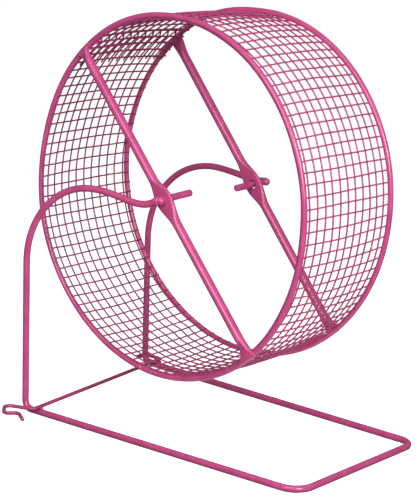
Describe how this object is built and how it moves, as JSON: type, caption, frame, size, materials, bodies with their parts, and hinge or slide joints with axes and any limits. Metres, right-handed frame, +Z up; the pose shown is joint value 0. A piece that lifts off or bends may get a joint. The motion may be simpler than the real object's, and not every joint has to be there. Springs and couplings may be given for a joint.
{
  "type": "hamster wheel",
  "caption": "Open mesh running wheel for a hamster, spinning on the inturned ends of a bent wire stand with a flat open base and a small hook at a rear corner.",
  "frame": {"origin": "middle of the whole part's outline on the floor, at floor level", "axes": "+Z up, +Y along the axle away from the hooked side, +X forward along the base from the posts to the front wire"},
  "size_m": [0.2324, 0.154, 0.2395],
  "materials": {
    "stand_paint": "powder coat, soft gloss",
    "cross_wire_paint": "powder coat, soft gloss",
    "near_rim_paint": "powder coat, soft gloss",
    "far_rim_paint": "powder coat, soft gloss",
    "mesh_paint": "powder coat over welded wire",
    "near_crossbar_paint": "powder coat, soft gloss",
    "far_crossbar_paint": "powder coat, soft gloss"
  },
  "bodies": {
    "stand": {"stand_frame": "stand_paint", "rear_cross_wire": "cross_wire_paint"},
    "wheel": {"rim_near": "near_rim_paint", "rim_far": "far_rim_paint", "running_mesh": "mesh_paint", "crossbar_near": "near_crossbar_paint", "crossbar_far": "far_crossbar_paint"}
  },
  "joints": [
    {"name": "wheel_spin", "type": "hinge", "parent": "stand", "child": "wheel", "pos_m": [-0.00285, 0.00815, 0.137], "axis": [0, 1, 0], "continuous": true}
  ]
}
